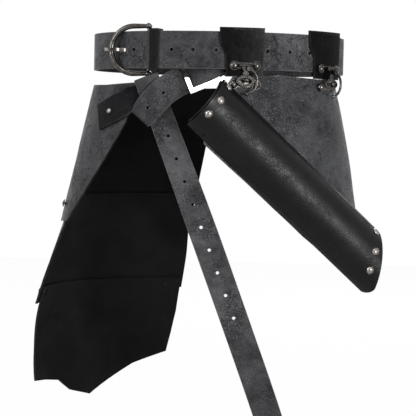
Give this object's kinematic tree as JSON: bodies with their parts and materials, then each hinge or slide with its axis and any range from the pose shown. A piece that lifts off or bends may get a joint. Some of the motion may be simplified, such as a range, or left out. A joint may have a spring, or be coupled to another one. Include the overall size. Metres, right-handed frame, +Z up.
{
  "type": "thigh armor",
  "caption": "Leather thigh armour for one leg: buckled waist belt, hip panels, riveted lames, rolled side guard, swing clasps and knotted tie straps.",
  "frame": {"origin": "centre of the waist loop at the belt's mid height", "axes": "+Z up along the wearer's body, -Y towards the wearer's front as pictured, +X to the right in the picture"},
  "size_m": [0.4907, 0.3397, 0.5566],
  "materials": {
    "belt_leather": "satin, dressed smooth, edges burnished",
    "panel_leather": "matt, fine grain",
    "strap_leather": "matt, softly creased",
    "black_leather": "satin black",
    "lining_leather": "matt flesh side",
    "gunmetal": "dark nickel, polished",
    "bright_steel": "bright nickel"
  },
  "bodies": {
    "harness": {"waist_belt": "belt_leather", "chape_rivets": "gunmetal", "front_hanger": "black_leather", "side_hanger": "black_leather", "front_upper_plate": "gunmetal", "front_lower_plate": "gunmetal", "side_upper_plate": "gunmetal", "side_lower_plate": "gunmetal", "right_hip_panel": "panel_leather", "left_hip_panel": "panel_leather", "back_seam_rivets": "gunmetal", "guard_shell": "black_leather", "guard_lining": "lining_leather", "guard_top_rivets": "gunmetal", "guard_bottom_rivets": "gunmetal", "guard_corner_rivet": "gunmetal", "short_tie_strap": "strap_leather", "short_strap_rivet": "gunmetal", "long_tie_strap": "strap_leather", "long_strap_rivets": "gunmetal", "slide_buckle": "bright_steel"},
    "keeper": {"belt_keeper": "black_leather"},
    "buckle": {"buckle_frame": "gunmetal", "buckle_bar": "gunmetal"},
    "prong": {"buckle_prong": "gunmetal"},
    "front_hasp": {"front_hasp": "gunmetal"},
    "front_arm": {"front_swing_arm": "gunmetal"},
    "side_hasp": {"side_hasp": "gunmetal"},
    "side_arm": {"side_swing_arm": "gunmetal"},
    "middle_lame": {"middle_lame": "panel_leather", "middle_lame_rivets": "gunmetal"},
    "lower_lame": {"lower_lame": "panel_leather", "lower_lame_rivets": "gunmetal"}
  },
  "joints": [
    {"name": "keeper_slide", "type": "slide", "parent": "harness", "child": "keeper", "axis": [0.9356, -0.3531, 0], "range_m": [0, 0.009]},
    {"name": "buckle_swing", "type": "hinge", "parent": "harness", "child": "buckle", "pos_m": [-0.09551, -0.09451, 0], "axis": [0, 0, 1], "range_deg": [0, 3]},
    {"name": "prong_swing", "type": "hinge", "parent": "harness", "child": "prong", "pos_m": [-0.09551, -0.09451, 0], "axis": [0, 0, 1], "range_deg": [0, 3]},
    {"name": "front_hasp_hinge", "type": "hinge", "parent": "harness", "child": "front_hasp", "pos_m": [0.03533, -0.13134, -0.02], "axis": [-0.9919, -0.1273, 0], "range_deg": [0, 35]},
    {"name": "front_arm_swing", "type": "hinge", "parent": "front_hasp", "child": "front_arm", "pos_m": [0.03856, -0.12984, -0.02418], "axis": [0.1272, -0.9917, -0.0175], "range_deg": [0, 100]},
    {"name": "side_hasp_hinge", "type": "hinge", "parent": "harness", "child": "side_hasp", "pos_m": [0.1533, -0.07943, -0.02], "axis": [-0.7338, -0.6794, 0], "range_deg": [0, 35]},
    {"name": "side_arm_swing", "type": "hinge", "parent": "side_hasp", "child": "side_arm", "pos_m": [0.15507, -0.07634, -0.02418], "axis": [0.6792, -0.7337, -0.0175], "range_deg": [0, 100]},
    {"name": "middle_lame_hinge", "type": "hinge", "parent": "harness", "child": "middle_lame", "pos_m": [-0.20687, -0.02254, -0.215], "axis": [-0.6864, -0.7272, 0], "range_deg": [0, 6]},
    {"name": "lower_lame_hinge", "type": "hinge", "parent": "middle_lame", "child": "lower_lame", "pos_m": [-0.24515, 0.01673, -0.346], "axis": [-0.7799, -0.6259, 0], "range_deg": [0, 6]}
  ],
  "couplings": [
    {"joint": "prong_swing", "follows": "buckle_swing", "ratio": 1}
  ]
}
